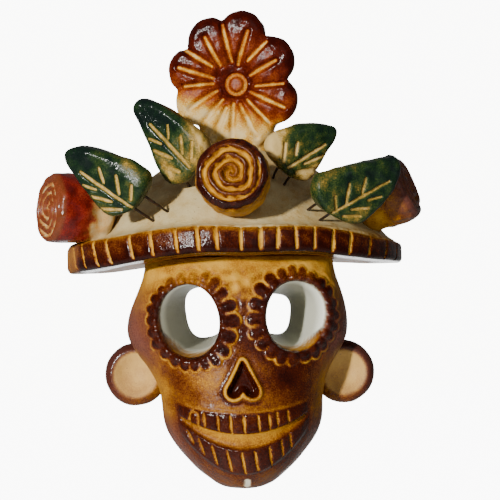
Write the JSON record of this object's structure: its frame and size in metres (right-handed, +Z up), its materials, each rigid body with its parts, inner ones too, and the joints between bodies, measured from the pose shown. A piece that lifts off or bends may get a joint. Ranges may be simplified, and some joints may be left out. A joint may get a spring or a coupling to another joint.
{
  "type": "ceramic skull wall mask",
  "caption": "Glazed wall mask of a smiling skull in a broad hat, with roses, a petalled flower and leaves on iron wires.",
  "frame": {"origin": "centre of the nail hole, on the flat back that lies against the wall", "axes": "+Z up, +Y into the wall, -Y the way the face looks, +X to the viewer's right"},
  "size_m": [0.1805, 0.086, 0.2263],
  "materials": {
    "brown_glaze": "glossy glaze",
    "cream_glaze": "glossy glaze",
    "brim_glaze": "glossy glaze",
    "red_glaze": "glossy glaze",
    "rose_glaze": "glossy glaze",
    "green_glaze": "glossy glaze",
    "iron_wire": "dark annealed, unpolished"
  },
  "bodies": {
    "mask": {"skull": "brown_glaze", "ear_left": "brown_glaze", "ear_right": "brown_glaze", "hat_brim": "brim_glaze", "hat_crown": "cream_glaze", "flower": "red_glaze", "flower_pins": "iron_wire", "rose_center": "rose_glaze", "rose_center_pins": "iron_wire", "rose_left": "rose_glaze", "rose_left_pins": "iron_wire", "rose_right": "rose_glaze", "rose_right_pins": "iron_wire", "leaf_lower_left_wires": "iron_wire", "leaf_upper_left_wires": "iron_wire", "leaf_upper_right_wires": "iron_wire", "leaf_lower_right_wires": "iron_wire"},
    "leaf_lower_left": {"leaf_lower_left": "green_glaze"},
    "leaf_upper_left": {"leaf_upper_left": "green_glaze"},
    "leaf_upper_right": {"leaf_upper_right": "green_glaze"},
    "leaf_lower_right": {"leaf_lower_right": "green_glaze"}
  },
  "joints": [
    {"name": "leaf_lower_left_bend", "type": "hinge", "parent": "mask", "child": "leaf_lower_left", "pos_m": [-0.03873, -0.05861, 0.02907], "axis": [0.5325, -0.4372, 0.7248], "range_deg": [-8, 15], "deforming": ["leaf_lower_left_wires"]},
    {"name": "leaf_upper_left_bend", "type": "hinge", "parent": "mask", "child": "leaf_upper_left", "pos_m": [-0.01989, -0.04911, 0.04374], "axis": [0.7376, -0.4371, 0.5147], "range_deg": [-8, 15], "deforming": ["leaf_upper_left_wires"]},
    {"name": "leaf_upper_right_bend", "type": "hinge", "parent": "mask", "child": "leaf_upper_right", "pos_m": [0.01861, -0.04915, 0.04404], "axis": [0.5452, 0.4362, -0.7158], "range_deg": [-8, 15], "deforming": ["leaf_upper_right_wires"]},
    {"name": "leaf_lower_right_bend", "type": "hinge", "parent": "mask", "child": "leaf_lower_right", "pos_m": [0.0346, -0.06042, 0.02644], "axis": [0.4489, 0.4355, -0.7802], "range_deg": [-8, 15], "deforming": ["leaf_lower_right_wires"]}
  ]
}
